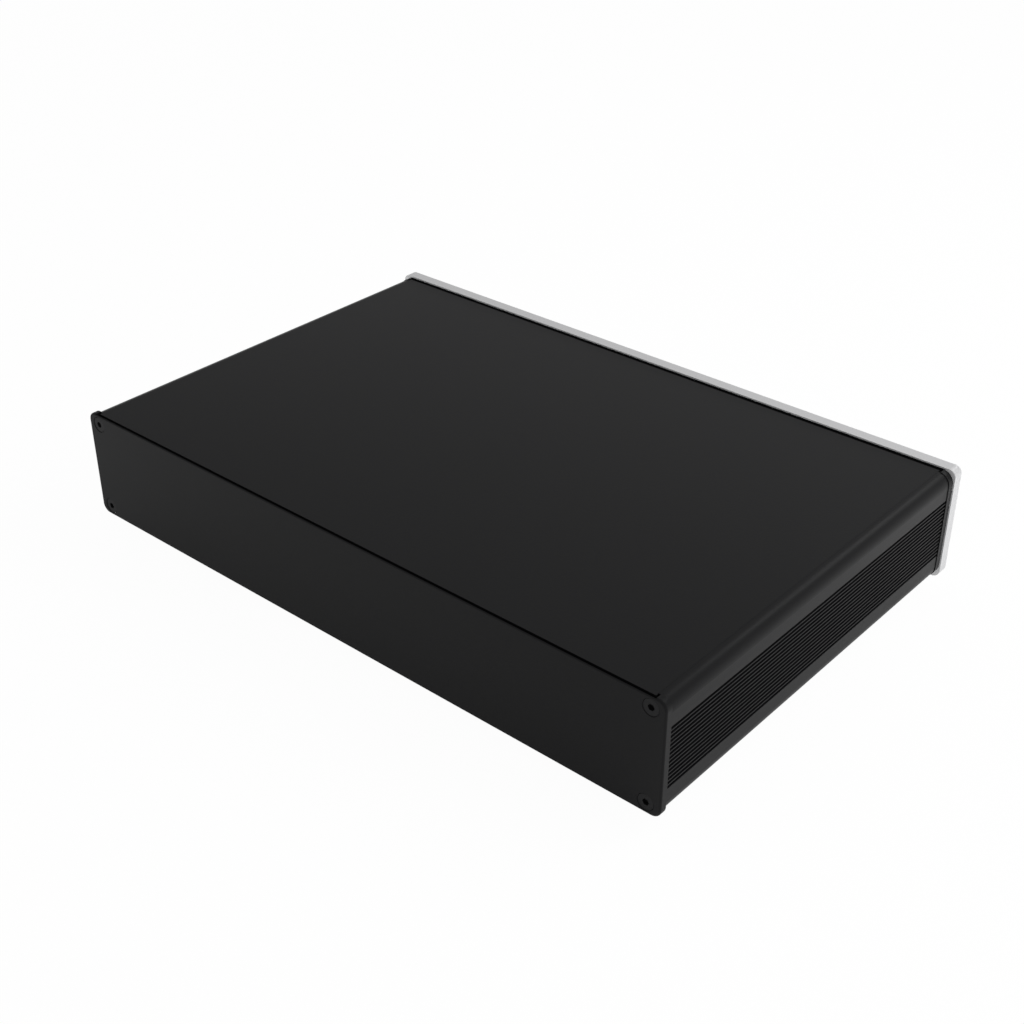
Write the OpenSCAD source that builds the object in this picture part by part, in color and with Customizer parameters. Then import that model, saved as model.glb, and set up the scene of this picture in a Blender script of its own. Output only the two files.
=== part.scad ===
// Amplifier chassis: two grooved side extrusions, top and bottom covers held in their slots,
// a stepped end plate at each end and a thick front panel, standing on four turned feet.
// The front faces -Y, +Z is up, and the origin lies on the ground under the middle of the case.

/* [Overall] */
// Width of the end plates
plate_w = 430; // [320:1:460]
// Height of the end plates
plate_h = 70; // [64:1:120]
// Length of the side extrusions between the end plates
body_l = 265; // [180:1:400]
// Height of the end plates above the ground
ground_gap = 10; // [9:0.5:20]

/* [End plates] */
// Thickness of the front and rear plates
plate_t = 4.5; // [4:0.1:6]
// Corner radius of the rear plate's outline
plate_r = 5.5; // [3:0.1:7]
// Rounding of the rear plate's outer edge
rear_edge_r = 1.2; // [0.3:0.1:1.6]
// Rounding of the front plate's outer edge, which lies on the front panel
front_edge_r = 0.3; // [0.2:0.1:0.8]
// Thickness of the lip left outside the step along the top and bottom edges
plate_lip = 0.5; // [0.4:0.1:1.4]
// Width of the open seam between that lip and the end of a cover
seam_gap = 2; // [0.8:0.1:2.4]
// How far the plates stand proud of the extrusions and covers
plate_proud = 0.4; // [0.1:0.1:0.8]
// How far a step runs past the side edges of the covers
step_past = 1.5; // [0.2:0.1:2.5]

/* [Front panel] */
// Thickness of the front panel
panel_t = 8; // [7:0.5:16]
// How far the front panel stands proud of the plates
panel_proud = 0.8; // [0.2:0.1:3]
// Corner radius of the front panel
panel_r = 4.5; // [3:0.1:9]
// Rounding of the front panel's front edge
panel_edge_r = 0.8; // [0.3:0.1:1.5]
// Distance of the panel screws from the plates' side edges
panel_screw_in_x = 47; // [30:1:90]
// Distance of the panel screws from the plates' top and bottom edges
panel_screw_in_z = 17.5; // [15:0.5:25]
// Length of thread in the front panel
panel_bite = 5; // [3:0.5:6]
// Depth of a tapped hole past its screw's end
tap_spare = 0.5; // [0.2:0.1:0.9]

/* [Side extrusions] */
// Radius of the rounded corners along the body
body_r = 7.6; // [5:0.1:9]
// Thickness of the grooved wall
wall_t = 5; // [4.4:0.1:7]
// Number of grooves in each side
groove_n = 15; // [5:1:16]
// Width of a groove
groove_w = 1.85; // [0.6:0.05:1.9]
// Distance from groove to groove
groove_pitch = 2.54; // [2:0.01:2.7]
// Depth of a groove
groove_d = 2.4; // [0.8:0.1:2.6]
// Distance from the outside to the inner edge of the ledge that carries a cover's edge
ledge_w = 13; // [12:0.5:20]
// Thickness of the ledge
ledge_t = 2; // [1.5:0.1:3]
// Diameter of the round boss about a screw port
boss_d = 8.4; // [7.4:0.1:10]

/* [Covers] */
// Thickness of the top and bottom covers
cover_t = 2.5; // [2.2:0.1:2.6]
// Thickness of the tongue along a cover's long edge
tongue_t = 1.2; // [0.8:0.1:1.3]
// Width of the tongue
tongue_w = 1.7; // [1:0.1:2]
// Clearance at the sides of a cover and over its tongue
fit_gap = 0.1; // [0.05:0.05:0.2]

/* [Plate screws] */
// Distance of the plate screws from the plates' side edges
screw_in_x = 8.9; // [7.2:0.1:10]
// Distance of the plate screws from the plates' top and bottom edges
screw_in_z = 6.5; // [6.3:0.1:8]
// Diameter of a plate screw
screw_d = 5; // [4.6:0.1:5.4]
// By how much its thread's core, and the port that it bites into, are thinner
thread_in = 0.8; // [0.5:0.05:1]
// By how much a clearance hole is wider than its screw
hole_gap = 0.3; // [0.1:0.05:0.8]
// Diameter of the countersunk head
head_d = 9.2; // [8:0.1:9.6]
// Height of the head's straight rim
head_rim = 0.3; // [0.1:0.1:0.6]
// How deep the head lies below the plate's face
head_sink = 0.3; // [0.1:0.05:0.6]
// Clearance round the head in its seat
seat_gap = 0.4; // [0.1:0.05:0.5]
// Width across flats of the hexagon socket
socket_af = 3.5; // [2:0.5:4]
// Depth of the socket
socket_h = 1.9; // [1:0.1:2.2]
// Overall length of the screw
screw_l = 16; // [12:1:25]

/* [Small screws] */
// Diameter of the panel and foot screws
small_d = 4; // [3.5:0.1:4.5]
// By how much the core of their thread in the front panel is thinner
small_thread_in = 0.7; // [0.4:0.05:0.9]
// Diameter of the button heads
small_head_d = 7.6; // [6.4:0.1:8.4]
// Height of the heads
small_head_h = 2.6; // [2:0.1:2.8]
// Width across flats of their hexagon sockets
small_socket_af = 2.5; // [2:0.5:3]
// Depth of their sockets
small_socket_h = 1.4; // [0.8:0.1:1.6]
// Diameter of the washers inside the bottom cover
washer_d = 9; // [8:0.1:12]
// Thickness of the washers
washer_h = 0.8; // [0.5:0.1:1.2]
// Width across flats of the nuts
nut_af = 7; // [6:0.5:8]
// Height of the nuts
nut_h = 3.2; // [2.4:0.1:5]
// How far a foot screw stands out of its nut
screw_end = 1; // [0.2:0.1:3]

/* [Feet] */
// Diameter of a foot at its top
foot_d = 40; // [36:1:56]
// Diameter of a foot at its base
foot_base_d = 36.8; // [36:0.2:44]
// Chamfer at the top and base of a foot
foot_edge = 0.6; // [0.2:0.1:0.9]
// Distance of the foot axes from the plates' side edges
foot_in_x = 50; // [44:1:90]
// Distance of the foot axes from the body's ends
foot_in_y = 45; // [36:1:70]
// Width of a foot's rim round the seat of its rubber ring
foot_rim = 2.4; // [1.2:0.1:5]
// Diameter of the hole in the ring
pad_hole_d = 12; // [10:0.5:16]
// Depth of the ring's seat in its foot
pad_in = 2; // [1:0.1:2.6]
// Height by which the ring stands out of its foot
pad_out = 1.2; // [0.6:0.1:2]
// Clearance round the ring
pad_gap = 0.2; // [0.05:0.05:0.4]
// Clearance round a screw head in its pocket
pocket_gap = 0.7; // [0.2:0.1:1]
// How deep the head lies in that pocket below the ring's seat
pocket_deep = 0.4; // [0.1:0.1:0.8]

/* [Hidden] */
$fn = 64;
eps = 0.01;
over = 1;

depth = body_l + 2 * plate_t + panel_t;
body_y1 = depth / 2 - plate_t;
body_y0 = body_y1 - body_l;
plate_y0 = body_y0 - plate_t;
mid_z = ground_gap + plate_h / 2;

body_w = plate_w - 2 * plate_proud;
body_h = plate_h - 2 * plate_proud;
half_w = body_w / 2;
half_h = body_h / 2;
cover_edge = half_w - body_r;
cover_in = half_h - cover_t;
step_w = 2 * (cover_edge + step_past);
// The front plate's corners follow the body's
front_plate_r = body_r + plate_proud;
step_h = cover_t + plate_proud;
cover_lap = plate_t - plate_lip - seam_gap;

port_x = plate_w / 2 - screw_in_x;
port_z = plate_h / 2 - screw_in_z;
port_d = screw_d - thread_in;
screw_hole_d = screw_d + hole_gap;
head_y = plate_t - head_sink;
rim_y = head_y - head_rim;
cone_h = (head_d - screw_d) / 2;
seat_d = head_d + 2 * seat_gap;

small_core = small_d - small_thread_in;
small_hole = small_d + hole_gap;

panel_w = plate_w + 2 * panel_proud;
panel_h = plate_h + 2 * panel_proud;
panel_screw_x = plate_w / 2 - panel_screw_in_x;
panel_screw_z = plate_h / 2 - panel_screw_in_z;

foot_x = plate_w / 2 - foot_in_x;
foot_y = [body_y0 + foot_in_y, body_y1 - foot_in_y];
foot_top = ground_gap + plate_proud;
pad_d = foot_base_d - 2 * (foot_rim + pad_gap);
pad_seat = pad_out + pad_in;
pocket_d = small_head_d + 2 * pocket_gap;
head_seat = pad_seat + pocket_deep + small_head_h;
cover_top = foot_top + cover_t;
nut_z = cover_top + washer_h;
foot_screw_top = nut_z + nut_h + screw_end;

black = "#2b2b2d";
silver = "#cfd0d2";
dark_steel = "#1c1c1e";
zinc = "#b4b7ba";
rubber = "#202020";

// Outline of the body: a rectangle with round corners, centred
module round_rect(w, h, r) {
    square([w - 2 * r, h], center = true);
    square([w, h - 2 * r], center = true);
    for (sx = [-1, 1], sz = [-1, 1])
        translate([sx * (w / 2 - r), sz * (h / 2 - r)])
            circle(r);
}

// Stands a 2D outline up in the XZ plane and extrudes it from y0 to y1
module along_y(y0, y1) {
    translate([0, y1, 0])
        rotate([90, 0, 0])
            linear_extrude(y1 - y0)
                children();
}

// Rod along +Y from y0 to y1
module rod_y(d, y0, y1) {
    translate([0, y0, 0])
        rotate([-90, 0, 0])
            cylinder(d = d, h = y1 - y0);
}

// Hexagon bar along +Z, for sockets and nuts
module hexagon(af, h) {
    cylinder(d = af / cos(30), h = h, $fn = 6);
}

// Section through a plate's edge, outwards from the centre of a corner: the outer edge is rounded
module edge_section(t, r, e) {
    square([r, t - e]);
    square([r - e, t]);
    translate([r - e, t - e])
        circle(e);
}

// Plate with its inner face at y = 0, its outer face at y = t and a rounded outer edge
module edged_plate(w, h, t, r, e) {
    cx = w / 2 - r;
    cy = h / 2 - r;
    rotate([-90, 0, 0]) {
        translate([-cx, -cy, 0])
            cube([2 * cx, 2 * cy, t]);
        for (q = [0 : 3]) {
            out = q % 2 == 0 ? cx : cy;
            side = q % 2 == 0 ? cy : cx;
            rotate(90 * q)
                translate([out, side, 0]) {
                    rotate([90, 0, 0])
                        linear_extrude(2 * side)
                            edge_section(t, r, e);
                    rotate_extrude(angle = 90)
                        edge_section(t, r, e);
                }
        }
    }
}

// The four places of the plate screws
module at_plate_screws() {
    for (sx = [-1, 1], sz = [-1, 1])
        translate([sx * port_x, 0, sz * port_z])
            children();
}

// The four places of the front panel's screws
module at_panel_screws() {
    for (sx = [-1, 1], sz = [-1, 1])
        translate([sx * panel_screw_x, 0, sz * panel_screw_z])
            children();
}

// The four feet
module at_feet() {
    for (sx = [-1, 1], y = foot_y)
        translate([sx * foot_x, y, 0])
            children();
}

// Cone of 45 degrees, from the screw's diameter up to the rim of its head and on by a margin
module head_cone(margin = 0) {
    translate([0, rim_y - cone_h, 0])
        rotate([-90, 0, 0])
            cylinder(d1 = screw_d, d2 = head_d + 2 * margin, h = cone_h + margin);
}

// Countersunk seat in a plate whose outer face is at y = plate_t
module countersink() {
    rod_y(screw_hole_d, -over, plate_t + over);
    head_cone(seat_gap);
    rod_y(seat_d, rim_y + seat_gap, plate_t + over);
}

// End plate, inner face at y = 0: rounded outer edge, steps for the covers' ends, screw seats
module end_plate(corner_r, edge_r) {
    difference() {
        edged_plate(plate_w, plate_h, plate_t, corner_r, edge_r);
        for (turn = [0, 180])
            rotate([0, turn, 0])
                translate([-step_w / 2, -over, plate_h / 2 - step_h])
                    cube([step_w, plate_t - plate_lip + over, step_h + over]);
        at_plate_screws()
            countersink();
    }
}

// Countersunk hex-socket screw in a plate whose outer face is at y = plate_t
module plate_screw() {
    difference() {
        union() {
            rod_y(head_d, rim_y, head_y);
            head_cone();
            rod_y(screw_d, 0, rim_y - cone_h + eps);
            rod_y(port_d, head_y - screw_l, eps);
        }
        translate([0, head_y - socket_h, 0])
            rotate([-90, 0, 0])
                hexagon(socket_af, socket_h + over);
    }
}

// Button head of a small screw, seated at z = 0 with its socket at the top
module small_head() {
    difference() {
        cylinder(d = small_head_d, h = small_head_h);
        translate([0, 0, small_head_h - small_socket_h])
            hexagon(small_socket_af, small_socket_h + over);
    }
}

// Draws a shape at the upper edge of a section and its mirror image at the lower edge
module both_edges() {
    children();
    mirror([0, 1, 0])
        children();
}

// Cross-section of the +X side extrusion about the body's axis: grooved wall, rounded corners,
// ledges and slots for the covers, and bosses with the screw ports
module side_section() {
    difference() {
        intersection() {
            round_rect(body_w, body_h, body_r);
            union() {
                translate([half_w - wall_t, -half_h])
                    square([wall_t, body_h]);
                both_edges() {
                    translate([half_w - ledge_w, cover_in - ledge_t])
                        square([ledge_w, ledge_t]);
                    translate([cover_edge, cover_in - ledge_t])
                        square([body_r, ledge_t + cover_t]);
                    translate([port_x, port_z])
                        circle(d = boss_d);
                }
            }
        }
        for (i = [0 : groove_n - 1])
            translate([half_w - groove_d, (i - (groove_n - 1) / 2) * groove_pitch - groove_w / 2])
                square([groove_d + over, groove_w]);
        both_edges() {
            translate([half_w - 2 * ledge_w, cover_in])
                square([2 * ledge_w - body_r, cover_t + over]);
            translate([cover_edge - over, cover_in])
                square([tongue_w + fit_gap + over, tongue_t + fit_gap]);
            translate([port_x, port_z])
                circle(d = port_d);
        }
    }
}

// Cover, its inner face at z = 0: a plate whose ends lap into the steps of the end plates, with a
// thinner tongue along each side in the slot of an extrusion
module cover() {
    along_y(body_y0, body_y1)
        translate([-(cover_edge + tongue_w), 0])
            square([2 * (cover_edge + tongue_w), tongue_t]);
    along_y(body_y0 - cover_lap, body_y1 + cover_lap)
        translate([-(cover_edge - fit_gap), 0])
            square([2 * (cover_edge - fit_gap), cover_t]);
}

// Turned foot with a seat for the rubber ring and a deeper pocket for the screw head
module foot() {
    r_top = foot_d / 2;
    r_base = foot_base_d / 2;
    r_seat = pad_d / 2 + pad_gap;
    rotate_extrude()
        polygon([
            [small_hole / 2, head_seat],
            [small_hole / 2, foot_top],
            [r_top - foot_edge, foot_top],
            [r_top, foot_top - foot_edge],
            [r_base, pad_out + foot_edge],
            [r_base - foot_edge, pad_out],
            [r_seat, pad_out],
            [r_seat, pad_seat],
            [pocket_d / 2, pad_seat],
            [pocket_d / 2, head_seat]
        ]);
}

// Rubber ring in the underside of a foot
module pad() {
    rotate_extrude()
        translate([pad_hole_d / 2, 0])
            square([(pad_d - pad_hole_d) / 2, pad_seat]);
}

module front_panel() {
    color(silver)
        translate([0, plate_y0, mid_z])
            difference() {
                mirror([0, 1, 0])
                    edged_plate(panel_w, panel_h, panel_t, panel_r, panel_edge_r);
                at_panel_screws()
                    rod_y(small_core, -panel_bite - tap_spare, over);
            }
}

module front_plate() {
    color(black)
        translate([0, body_y0, mid_z])
            difference() {
                mirror([0, 1, 0])
                    end_plate(front_plate_r, front_edge_r);
                at_panel_screws()
                    rod_y(small_hole, -plate_t - over, over);
            }
}

module rear_panel() {
    color(black)
        translate([0, body_y1, mid_z])
            end_plate(plate_r, rear_edge_r);
}

module top_cover() {
    color(black)
        translate([0, 0, mid_z + cover_in])
            cover();
}

module bottom_cover() {
    color(black)
        difference() {
            translate([0, 0, mid_z - cover_in])
                mirror([0, 0, 1])
                    cover();
            at_feet()
                translate([0, 0, foot_top - over])
                    cylinder(d = small_hole, h = cover_t + 2 * over);
        }
}

module right_side() {
    color(black)
        translate([0, 0, mid_z])
            along_y(body_y0, body_y1)
                side_section();
}

module left_side() {
    color(black)
        mirror([1, 0, 0])
            translate([0, 0, mid_z])
                along_y(body_y0, body_y1)
                    side_section();
}

module rear_screws() {
    color(dark_steel)
        translate([0, body_y1, mid_z])
            at_plate_screws()
                plate_screw();
}

module front_plate_screws() {
    color(dark_steel)
        translate([0, body_y0, mid_z])
            mirror([0, 1, 0])
                at_plate_screws()
                    plate_screw();
}

module front_panel_screws() {
    color(zinc)
        translate([0, body_y0, mid_z])
            at_panel_screws() {
                rotate([-90, 0, 0])
                    small_head();
                rod_y(small_d, -plate_t, eps);
                rod_y(small_core, -plate_t - panel_bite, eps - plate_t);
            }
}

module foot_front_left() {
    color(black)
        translate([-foot_x, foot_y[0], 0])
            foot();
}

module foot_front_right() {
    color(black)
        translate([foot_x, foot_y[0], 0])
            foot();
}

module foot_rear_left() {
    color(black)
        translate([-foot_x, foot_y[1], 0])
            foot();
}

module foot_rear_right() {
    color(black)
        translate([foot_x, foot_y[1], 0])
            foot();
}

module pad_front_left() {
    color(rubber)
        translate([-foot_x, foot_y[0], 0])
            pad();
}

module pad_front_right() {
    color(rubber)
        translate([foot_x, foot_y[0], 0])
            pad();
}

module pad_rear_left() {
    color(rubber)
        translate([-foot_x, foot_y[1], 0])
            pad();
}

module pad_rear_right() {
    color(rubber)
        translate([foot_x, foot_y[1], 0])
            pad();
}

module foot_screws() {
    color(zinc)
        at_feet() {
            translate([0, 0, head_seat])
                mirror([0, 0, 1])
                    small_head();
            translate([0, 0, head_seat - eps])
                cylinder(d = small_d, h = foot_screw_top - head_seat + eps);
        }
}

module foot_washers() {
    color(zinc)
        at_feet()
            translate([0, 0, cover_top])
                difference() {
                    cylinder(d = washer_d, h = washer_h);
                    translate([0, 0, -over])
                        cylinder(d = small_hole, h = washer_h + 2 * over);
                }
}

module foot_nuts() {
    color(zinc)
        at_feet()
            translate([0, 0, nut_z])
                difference() {
                    hexagon(nut_af, nut_h);
                    translate([0, 0, -over])
                        cylinder(d = small_d, h = nut_h + 2 * over);
                }
}

front_panel();
front_plate();
rear_panel();
top_cover();
bottom_cover();
left_side();
right_side();
rear_screws();
front_plate_screws();
front_panel_screws();
foot_front_left();
foot_front_right();
foot_rear_left();
foot_rear_right();
pad_front_left();
pad_front_right();
pad_rear_left();
pad_rear_right();
foot_screws();
foot_washers();
foot_nuts();
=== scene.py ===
"""Looks of the amplifier chassis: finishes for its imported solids, and a plain studio round them."""

import bpy
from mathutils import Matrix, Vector


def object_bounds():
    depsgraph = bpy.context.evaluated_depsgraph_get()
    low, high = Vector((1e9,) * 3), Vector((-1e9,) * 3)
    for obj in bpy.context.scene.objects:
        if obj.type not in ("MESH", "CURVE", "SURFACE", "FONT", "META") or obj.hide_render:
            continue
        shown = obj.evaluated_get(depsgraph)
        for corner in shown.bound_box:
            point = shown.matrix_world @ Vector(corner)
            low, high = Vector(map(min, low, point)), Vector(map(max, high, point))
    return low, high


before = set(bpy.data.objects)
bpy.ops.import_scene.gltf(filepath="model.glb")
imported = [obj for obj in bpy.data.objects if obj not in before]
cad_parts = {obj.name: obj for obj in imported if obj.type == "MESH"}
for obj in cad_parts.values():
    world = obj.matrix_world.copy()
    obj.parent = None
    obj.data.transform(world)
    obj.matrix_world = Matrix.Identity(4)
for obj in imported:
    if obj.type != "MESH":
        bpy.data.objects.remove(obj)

bl_info = {
    "name": "Amplifier chassis",
    "version": (1, 0, 0),
    "blender": (4, 5, 0),
    "location": "3D View > Sidebar > Chassis",
    "description": "Gives the pieces of an aluminium amplifier chassis their finishes and sets up a studio",
    "category": "Object",
}

CAD_BOX = [list(corner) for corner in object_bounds()]
MM = 0.001

PLATES = ("front_plate", "rear_panel")
COVERS = ("top_cover", "bottom_cover")
SIDES = ("left_side", "right_side")
PLATE_SCREWS = ("rear_screws", "front_plate_screws")
ZINC_HARDWARE = ("front_panel_screws", "foot_screws", "foot_washers", "foot_nuts")
CORNERS = ("front_left", "front_right", "rear_left", "rear_right")
PLATE_FINISH = "black_anodised_plate"

# Roughness of each finish at the two ends of its pattern
PLATE_ROUGH = (0.352, 0.368)
EXTRUSION_ROUGH = (0.34, 0.38)
SILVER_ROUGH = (0.6, 0.64)
STEEL_ROUGH = (0.35, 0.45)
ZINC_ROUGH = (0.25, 0.4)
RUBBER_ROUGH = (0.75, 0.9)
# Factors on the colour of each finish at the two ends of its pattern
BLACK_SHADES = (0.94, 1.06)
SILVER_SHADES = (0.9, 1.0)
STEEL_SHADES = (0.8, 1.2)
ZINC_SHADES = (1.1, 0.85)
RUBBER_SHADES = (0.8, 1.3)
# Sheen of the porous black film and of black oxide, where 0.5 is that of a plain glossy surface
FILM_SHEEN = 0.12
OXIDE_SHEEN = 0.16
# Values between which most of a noise texture lies
NOISE_RANGE = (0.3, 0.7)
# Depth of the blast dents, and how strongly they turn the light
DENT_DEPTH = 0.05 * MM
DENT_STRENGTH = 0.6
# The die lines change this much more slowly along the case than across it
DIE_STRETCH = 0.004

WHITE = (1, 1, 1, 1)
PAPER = (0.9, 0.9, 0.9, 1)
# Gap that keeps the floor apart from the rubber rings that stand on it
FLOOR_GAP = 0.05 * MM
# The mirrored ceiling goes from the first share of its level to the second as directions turn towards +X
CEILING_X = (0.3, 0.8)
CEILING_SHARES = (1.15, 0.55)
# The mirrored white sweep fades into the ceiling between these heights of a direction
SWEEP_Z = (0.05, 0.3)
# Name, place, width and height, power in watts, and whether shiny surfaces mirror it, of each softbox
LAMPS = (
    ("front_softbox", (-0.5, -1.2, 1.1), (0.6, 0.4), 2.1, True),
    ("key_softbox", (-1.0, -0.6, 1.0), (1.0, 0.7), 10.9, False),
)
# Width of the camera's sensor in millimetres, and the nearest and farthest that it sees in metres
SENSOR_W = 36
CAMERA_REACH = (0.01, 100)


def linear(hex_colour):
    """Linear RGB of an sRGB hex value such as #2b2b2d."""
    channels = [int(hex_colour[i:i + 2], 16) / 255 for i in (1, 3, 5)]
    return [c / 12.92 if c <= 0.04045 else ((c + 0.055) / 1.055) ** 2.4 for c in channels]


def shades(rgb, factors):
    """The two colours of a mix: a linear colour times each of two factors, with full alpha."""
    return {side: (*[factor * channel for channel in rgb], 1) for side, factor in zip("AB", factors)}


def ends(side, pair):
    """The two ends of one side of a map, From or To."""
    return {f"{side} Min": pair[0], f"{side} Max": pair[1]}


def colour(name, description, hex_colour):
    """A colour property whose default is an sRGB hex value."""
    return bpy.props.FloatVectorProperty(
        name=name, description=description, subtype="COLOR", size=3, min=0, max=1,
        default=linear(hex_colour),
    )


def length(name, description, metres):
    """A length property in metres."""
    return bpy.props.FloatProperty(
        name=name, description=description, unit="LENGTH", min=0.000001, precision=5,
        default=metres,
    )


class ChassisFinishes(bpy.types.PropertyGroup):
    """Colours of the finishes and the sizes of their patterns."""

    black: colour("Black dye", "Dyed oxide film on the plates, covers, sides and feet", "#131314")
    silver: colour("Silver", "Undyed oxide film on the front panel", "#f0f0f1")
    steel_black: colour("Black oxide", "Black oxide on the plate screws", "#161617")
    zinc: colour("Zinc", "Zinc plating on the inner screws, washers and nuts", "#b4b7ba")
    rubber: colour("Rubber", "Rubber rings under the feet", "#1e1e1f")
    # Real dents are about 0.1 mm wide, die lines 0.1 mm apart and crystals finer: drawn coarser, to show
    blast_grain: length("Blast grain", "Width of the dents that bead blasting leaves", 0.8 * MM)
    die_line: length("Die line", "Distance between the lines that an extrusion die leaves", 0.4 * MM)
    crystal: length("Crystal", "Width of the crystals in zinc plating and black oxide", 0.35 * MM)
    cloud: length("Cloud", "Width of the faint clouds in an oxide film", 60 * MM)
    bloom: length("Bloom", "Width of the pale patches that wax leaves on rubber", 8 * MM)


class ChassisStage(bpy.types.PropertyGroup):
    """Floor, levels of the light, and camera."""

    floor_w: length("Floor", "Width of the square floor", 12.0)
    floor_lift: bpy.props.FloatProperty(
        name="Floor lift", description="Share of plain white in the floor that the camera sees",
        default=0.97, min=0, max=1, subtype="FACTOR",
    )
    mirror_lift: bpy.props.FloatProperty(
        name="Mirrored lift", description="Share of plain white in the floor that shiny surfaces mirror",
        default=0.2, min=0, max=1, subtype="FACTOR",
    )
    ceiling: bpy.props.FloatProperty(
        name="Ceiling", description="Level of the ceiling that shiny surfaces mirror", default=0.55, min=0,
    )
    fill: bpy.props.FloatProperty(
        name="Fill", description="Level of the light that comes from all round", default=0.58, min=0,
    )
    lens: bpy.props.FloatProperty(
        name="Lens", description="Focal length of the camera in millimetres", default=54.9057, min=1,
    )
    camera_place: bpy.props.FloatVectorProperty(
        name="Camera", description="Place of the camera", size=3, subtype="XYZ", unit="LENGTH",
        default=(-0.52354, 0.60428, 0.52162),
    )
    camera_aim: bpy.props.FloatVectorProperty(
        name="Aim", description="Direction in which the camera looks", size=3, subtype="DIRECTION",
        default=(0.557212, -0.643942, -0.524264),
    )


def finishes():
    """The finish settings of the scene."""
    return bpy.context.scene.chassis_finishes


def add(tree, kind, inputs=None, **settings):
    """Adds a node; an input, by its name or number, is a value or a socket to link from."""
    node = tree.nodes.new(kind)
    for name, value in settings.items():
        setattr(node, name, value)
    for name, value in (inputs or {}).items():
        if isinstance(value, bpy.types.NodeSocket):
            tree.links.new(value, node.inputs[name])
        else:
            node.inputs[name].default_value = value
    return node


def new_material(name):
    """An empty node material and its tree."""
    material = bpy.data.materials.new(name)
    material.use_nodes = True
    material.node_tree.nodes.clear()
    return material, material.node_tree


def dress(names, material):
    """Gives CAD nodes a material."""
    for name in names:
        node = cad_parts[name]
        node.data.materials.clear()
        node.data.materials.append(material)


def black_anodised(name, die_lines):
    """Blasted aluminium with a black dyed oxide film: near-black and matte, with a low even sheen.

    Bead blasting dents the metal before it is anodised, so it has a fine grain and no sharp reflection.
    The dye sits in the pores of the film, which also take most of the sheen. The film varies a little
    from place to place, as faint clouds. An extrusion keeps faint lines along its length from the die.
    """
    look = finishes()
    material, tree = new_material(name)
    place = add(tree, "ShaderNodeTexCoord").outputs["Object"]
    cloud = add(tree, "ShaderNodeTexNoise", {
        "Vector": place, "Scale": 1 / look.cloud, "Detail": 2.0,
    }).outputs["Fac"]
    tint = add(tree, "ShaderNodeMix", {
        "Factor": cloud, **shades(look.black, BLACK_SHADES),
    }, data_type="RGBA")
    vary, rough_ends = cloud, PLATE_ROUGH
    if die_lines:
        along = add(tree, "ShaderNodeMapping", {"Vector": place, "Scale": (1.0, DIE_STRETCH, 1.0)})
        lines = add(tree, "ShaderNodeTexNoise", {
            "Vector": along.outputs["Vector"], "Scale": 1 / look.die_line, "Detail": 1.0,
        })
        vary, rough_ends = lines.outputs["Fac"], EXTRUSION_ROUGH
    rough = add(tree, "ShaderNodeMapRange", {
        "Value": vary, **ends("From", NOISE_RANGE), **ends("To", rough_ends),
    })
    grain = add(tree, "ShaderNodeTexNoise", {
        "Vector": place, "Scale": 1 / look.blast_grain, "Detail": 1.0,
    })
    bump = add(tree, "ShaderNodeBump", {
        "Height": grain.outputs["Fac"], "Strength": DENT_STRENGTH, "Distance": DENT_DEPTH,
    })
    shader = add(tree, "ShaderNodeBsdfPrincipled", {
        "Base Color": tint.outputs["Result"], "Specular IOR Level": FILM_SHEEN,
        "Roughness": rough.outputs["Result"], "Normal": bump.outputs["Normal"],
    })
    add(tree, "ShaderNodeOutputMaterial", {"Surface": shader.outputs["BSDF"]})
    return material


def silver_anodised():
    """Blasted aluminium under a clear oxide film: pale, metallic and matte, with a fine sparkle.

    The clear film keeps the colour of the metal. The dents spread its reflections so widely that it shows
    only broad light and shade, and here and there a dent turns more light to the eye than the next one.
    """
    look = finishes()
    material, tree = new_material("silver_anodised_blasted_aluminium")
    place = add(tree, "ShaderNodeTexCoord").outputs["Object"]
    grain = add(tree, "ShaderNodeTexNoise", {
        "Vector": place, "Scale": 1 / look.blast_grain, "Detail": 1.0,
    }).outputs["Fac"]
    tint = add(tree, "ShaderNodeMix", {
        "Factor": grain, **shades(look.silver, SILVER_SHADES),
    }, data_type="RGBA")
    cloud = add(tree, "ShaderNodeTexNoise", {"Vector": place, "Scale": 1 / look.cloud, "Detail": 2.0})
    rough = add(tree, "ShaderNodeMapRange", {
        "Value": cloud.outputs["Fac"], **ends("From", NOISE_RANGE), **ends("To", SILVER_ROUGH),
    })
    bump = add(tree, "ShaderNodeBump", {
        "Height": grain, "Strength": DENT_STRENGTH, "Distance": DENT_DEPTH,
    })
    shader = add(tree, "ShaderNodeBsdfPrincipled", {
        "Base Color": tint.outputs["Result"], "Metallic": 1.0,
        "Roughness": rough.outputs["Result"], "Normal": bump.outputs["Normal"],
    })
    add(tree, "ShaderNodeOutputMaterial", {"Surface": shader.outputs["BSDF"]})
    return material


def black_oxide_steel():
    """Steel blackened in a hot salt bath: dark and satin, with a thin oiled oxide that shines unevenly."""
    look = finishes()
    material, tree = new_material("black_oxide_steel")
    place = add(tree, "ShaderNodeTexCoord").outputs["Object"]
    grain = add(tree, "ShaderNodeTexNoise", {"Vector": place, "Scale": 1 / look.crystal}).outputs["Fac"]
    tint = add(tree, "ShaderNodeMix", {
        "Factor": grain, **shades(look.steel_black, STEEL_SHADES),
    }, data_type="RGBA")
    rough = add(tree, "ShaderNodeMapRange", {"Value": grain, **ends("To", STEEL_ROUGH)})
    shader = add(tree, "ShaderNodeBsdfPrincipled", {
        "Base Color": tint.outputs["Result"], "Specular IOR Level": OXIDE_SHEEN,
        "Roughness": rough.outputs["Result"],
    })
    add(tree, "ShaderNodeOutputMaterial", {"Surface": shader.outputs["BSDF"]})
    return material


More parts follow.
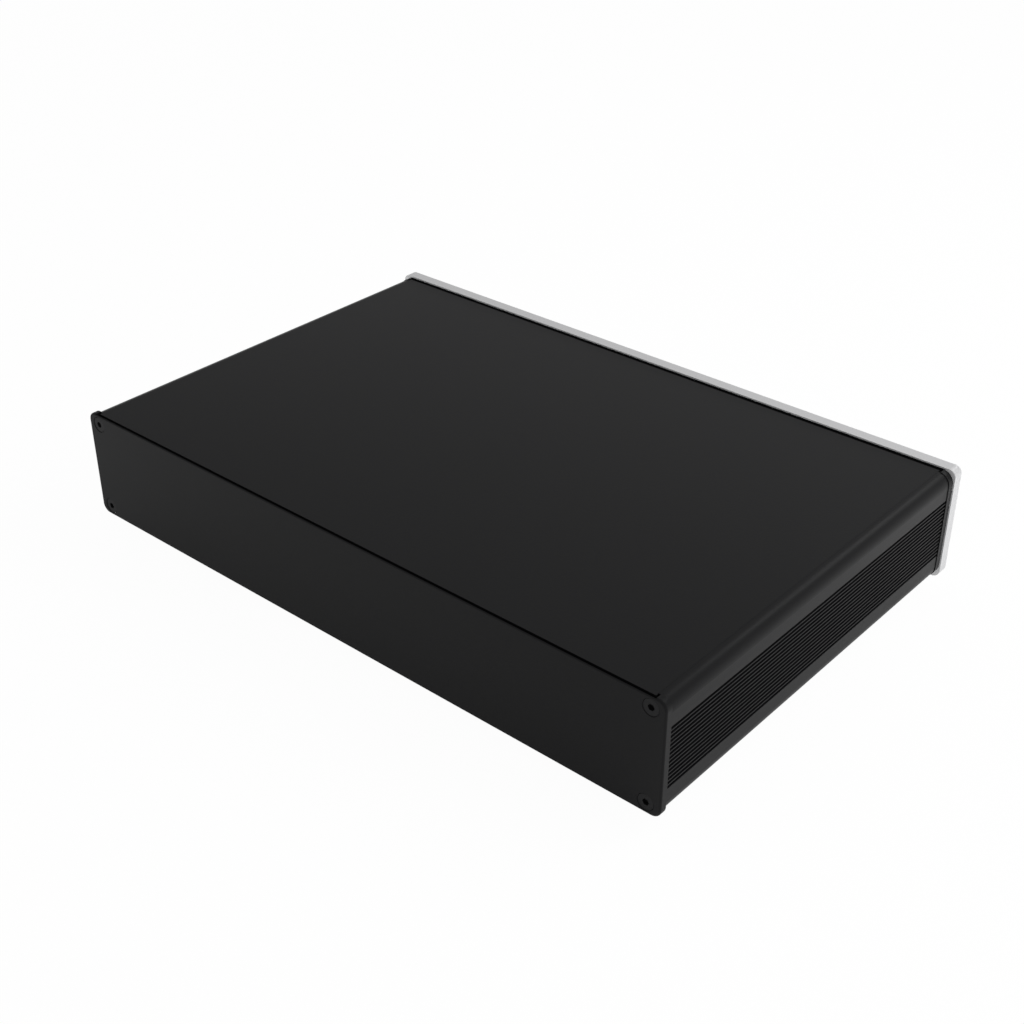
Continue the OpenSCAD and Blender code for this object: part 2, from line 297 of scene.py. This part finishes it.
def zinc_plated_steel():
    """Steel plated with zinc in a bath: bright blue-grey metal with a fine crystal pattern in its gloss."""
    look = finishes()
    material, tree = new_material("zinc_plated_steel")
    place = add(tree, "ShaderNodeTexCoord").outputs["Object"]
    crystals = add(tree, "ShaderNodeTexVoronoi", {
        "Vector": place, "Scale": 1 / look.crystal,
    }).outputs["Distance"]
    tint = add(tree, "ShaderNodeMix", {
        "Factor": crystals, **shades(look.zinc, ZINC_SHADES),
    }, data_type="RGBA")
    rough = add(tree, "ShaderNodeMapRange", {"Value": crystals, **ends("To", ZINC_ROUGH)})
    shader = add(tree, "ShaderNodeBsdfPrincipled", {
        "Base Color": tint.outputs["Result"], "Metallic": 1.0, "Roughness": rough.outputs["Result"],
    })
    add(tree, "ShaderNodeOutputMaterial", {"Surface": shader.outputs["BSDF"]})
    return material


def moulded_rubber():
    """Black rubber pressed in a mould: soft and matte, with a faint uneven bloom from its wax."""
    look = finishes()
    material, tree = new_material("black_moulded_rubber")
    place = add(tree, "ShaderNodeTexCoord").outputs["Object"]
    bloom = add(tree, "ShaderNodeTexNoise", {
        "Vector": place, "Scale": 1 / look.bloom, "Detail": 3.0,
    }).outputs["Fac"]
    tint = add(tree, "ShaderNodeMix", {
        "Factor": bloom, **shades(look.rubber, RUBBER_SHADES),
    }, data_type="RGBA")
    rough = add(tree, "ShaderNodeMapRange", {"Value": bloom, **ends("To", RUBBER_ROUGH)})
    shader = add(tree, "ShaderNodeBsdfPrincipled", {
        "Base Color": tint.outputs["Result"], "Roughness": rough.outputs["Result"],
    })
    add(tree, "ShaderNodeOutputMaterial", {"Surface": shader.outputs["BSDF"]})
    return material


class CHASSIS_OT_plates(bpy.types.Operator):
    """Finish the end plates and the covers"""

    bl_idname = "chassis.plates"
    bl_label = "Plates and covers"

    def execute(self, context):
        dress(PLATES + COVERS, black_anodised(PLATE_FINISH, False))
        return {"FINISHED"}


class CHASSIS_OT_sides(bpy.types.Operator):
    """Finish the grooved side extrusions"""

    bl_idname = "chassis.sides"
    bl_label = "Side extrusions"

    def execute(self, context):
        dress(SIDES, black_anodised("black_anodised_extrusion", True))
        return {"FINISHED"}


class CHASSIS_OT_front_panel(bpy.types.Operator):
    """Finish the thick front panel"""

    bl_idname = "chassis.front_panel"
    bl_label = "Front panel"

    def execute(self, context):
        dress(["front_panel"], silver_anodised())
        return {"FINISHED"}


class CHASSIS_OT_screws(bpy.types.Operator):
    """Finish the screws, washers and nuts"""

    bl_idname = "chassis.screws"
    bl_label = "Screws"

    def execute(self, context):
        dress(PLATE_SCREWS, black_oxide_steel())
        dress(ZINC_HARDWARE, zinc_plated_steel())
        return {"FINISHED"}


class CHASSIS_OT_feet(bpy.types.Operator):
    """Finish the feet, in the finish of the plates, and their rubber rings"""

    bl_idname = "chassis.feet"
    bl_label = "Feet"

    def execute(self, context):
        material = bpy.data.materials[PLATE_FINISH]
        dress([f"foot_{corner}" for corner in CORNERS], material)
        dress([f"pad_{corner}" for corner in CORNERS], moulded_rubber())
        return {"FINISHED"}


def shiny_ray(path, tree):
    """1 for the rays of metal and glass, which show the background too; 0 for the rest."""
    return add(tree, "ShaderNodeMath", {
        0: path["Is Glossy Ray"], 1: path["Is Transmission Ray"],
    }, operation="MAXIMUM").outputs[0]


def studio_world(stage):
    """White to the camera, a white sweep under a grey ceiling to shiny surfaces, and a fill to the rest."""
    world = bpy.data.worlds.new("studio")
    world.use_nodes = True
    tree = world.node_tree
    tree.nodes.clear()
    path = add(tree, "ShaderNodeLightPath").outputs
    direction = add(tree, "ShaderNodeTexCoord").outputs["Generated"]
    place = add(tree, "ShaderNodeSeparateXYZ", {"Vector": direction}).outputs
    ceiling = add(tree, "ShaderNodeMapRange", {
        "Value": place["X"], **ends("From", CEILING_X),
        **ends("To", [share * stage.ceiling for share in CEILING_SHARES]),
    })
    sweep = add(tree, "ShaderNodeMapRange", {
        "Value": place["Z"], **ends("From", SWEEP_Z), **ends("To", (1.0, ceiling.outputs["Result"])),
    })
    light = add(tree, "ShaderNodeMix", {
        "Factor": shiny_ray(path, tree), "A": stage.fill, "B": sweep.outputs["Result"],
    })
    level = add(tree, "ShaderNodeMix", {
        "Factor": path["Is Camera Ray"], "A": light.outputs["Result"], "B": 1.0,
    })
    white = add(tree, "ShaderNodeBackground", {"Color": WHITE, "Strength": level.outputs["Result"]})
    add(tree, "ShaderNodeOutputWorld", {"Surface": white.outputs[0]})
    bpy.context.scene.world = world


def white_floor(stage):
    """A plain pale floor under the feet that keeps a faint shadow."""
    half = stage.floor_w / 2
    mesh = bpy.data.meshes.new("floor")
    z = CAD_BOX[0][2] - FLOOR_GAP
    corners = [(-half, -half, z), (half, -half, z), (half, half, z), (-half, half, z)]
    mesh.from_pydata(corners, [], [(0, 1, 2, 3)])
    floor = bpy.data.objects.new("floor", mesh)
    bpy.context.scene.collection.objects.link(floor)
    material, tree = new_material("matte_white_floor")
    path = add(tree, "ShaderNodeLightPath").outputs
    seen = add(tree, "ShaderNodeMath", {
        0: path["Is Camera Ray"], 1: stage.floor_lift,
    }, operation="MULTIPLY")
    share = add(tree, "ShaderNodeMath", {
        0: shiny_ray(path, tree), 1: stage.mirror_lift, 2: seen.outputs[0],
    }, operation="MULTIPLY_ADD")
    paper = add(tree, "ShaderNodeBsdfDiffuse", {"Color": PAPER})
    white = add(tree, "ShaderNodeEmission", {"Color": WHITE, "Strength": 1.0})
    mix = add(tree, "ShaderNodeMixShader", {0: share.outputs[0], 1: paper.outputs[0], 2: white.outputs[0]})
    add(tree, "ShaderNodeOutputMaterial", {"Surface": mix.outputs[0]})
    mesh.materials.append(material)


def softbox(name, place, aim, size, power, mirrored):
    """An area lamp at place that shines at aim, unseen by the camera."""
    lamp = bpy.data.lights.new(name, "AREA")
    lamp.shape = "RECTANGLE"
    lamp.size, lamp.size_y = size
    lamp.energy = power
    box = bpy.data.objects.new(name, lamp)
    box.location = place
    box.rotation_mode = "QUATERNION"
    box.rotation_quaternion = (Vector(aim) - Vector(place)).to_track_quat("-Z", "Y")
    box.visible_camera = False
    box.visible_glossy = mirrored
    bpy.context.scene.collection.objects.link(box)


def photo_camera(stage):
    """The camera, off the rear corner at -X and well above it."""
    data = bpy.data.cameras.new("camera")
    data.lens = stage.lens
    data.sensor_width = SENSOR_W
    data.clip_start, data.clip_end = CAMERA_REACH
    camera = bpy.data.objects.new("camera", data)
    camera.location = stage.camera_place
    camera.rotation_mode = "QUATERNION"
    camera.rotation_quaternion = Vector(stage.camera_aim).to_track_quat("-Z", "Y")
    bpy.context.scene.collection.objects.link(camera)
    bpy.context.scene.camera = camera


class CHASSIS_OT_stage(bpy.types.Operator):
    """Set up the floor, the light and the camera"""

    bl_idname = "chassis.stage"
    bl_label = "Stage"

    def execute(self, context):
        stage = context.scene.chassis_stage
        context.scene.view_settings.view_transform = "Standard"
        studio_world(stage)
        white_floor(stage)
        middle = (0, 0, (CAD_BOX[0][2] + CAD_BOX[1][2]) / 2)
        for name, place, size, power, mirrored in LAMPS:
            softbox(name, place, middle, size, power, mirrored)
        photo_camera(stage)
        return {"FINISHED"}


OPERATORS = (
    CHASSIS_OT_plates, CHASSIS_OT_sides, CHASSIS_OT_front_panel,
    CHASSIS_OT_screws, CHASSIS_OT_feet, CHASSIS_OT_stage,
)


class CHASSIS_PT_panel(bpy.types.Panel):
    """Sidebar panel with the finishes and the stage"""

    bl_idname = "CHASSIS_PT_panel"
    bl_label = "Amplifier chassis"
    bl_space_type = "VIEW_3D"
    bl_region_type = "UI"
    bl_category = "Chassis"

    def draw(self, context):
        for operator in OPERATORS:
            self.layout.operator(operator.bl_idname)
        for settings in (context.scene.chassis_finishes, context.scene.chassis_stage):
            for name in settings.__annotations__:
                self.layout.prop(settings, name)


CLASSES = (ChassisFinishes, ChassisStage, *OPERATORS, CHASSIS_PT_panel)


def register():
    """Adds the classes, and the two groups of settings to the scene."""
    for cls in CLASSES:
        bpy.utils.register_class(cls)
    bpy.types.Scene.chassis_finishes = bpy.props.PointerProperty(type=ChassisFinishes)
    bpy.types.Scene.chassis_stage = bpy.props.PointerProperty(type=ChassisStage)


def unregister():
    """Takes the settings and the classes away again."""
    del bpy.types.Scene.chassis_stage
    del bpy.types.Scene.chassis_finishes
    for cls in reversed(CLASSES):
        bpy.utils.unregister_class(cls)


def main():
    """Runs the operators in order."""
    register()
    for operator in OPERATORS:
        group, name = operator.bl_idname.split(".")
        getattr(getattr(bpy.ops, group), name)()


if __name__ == "__main__":
    main()
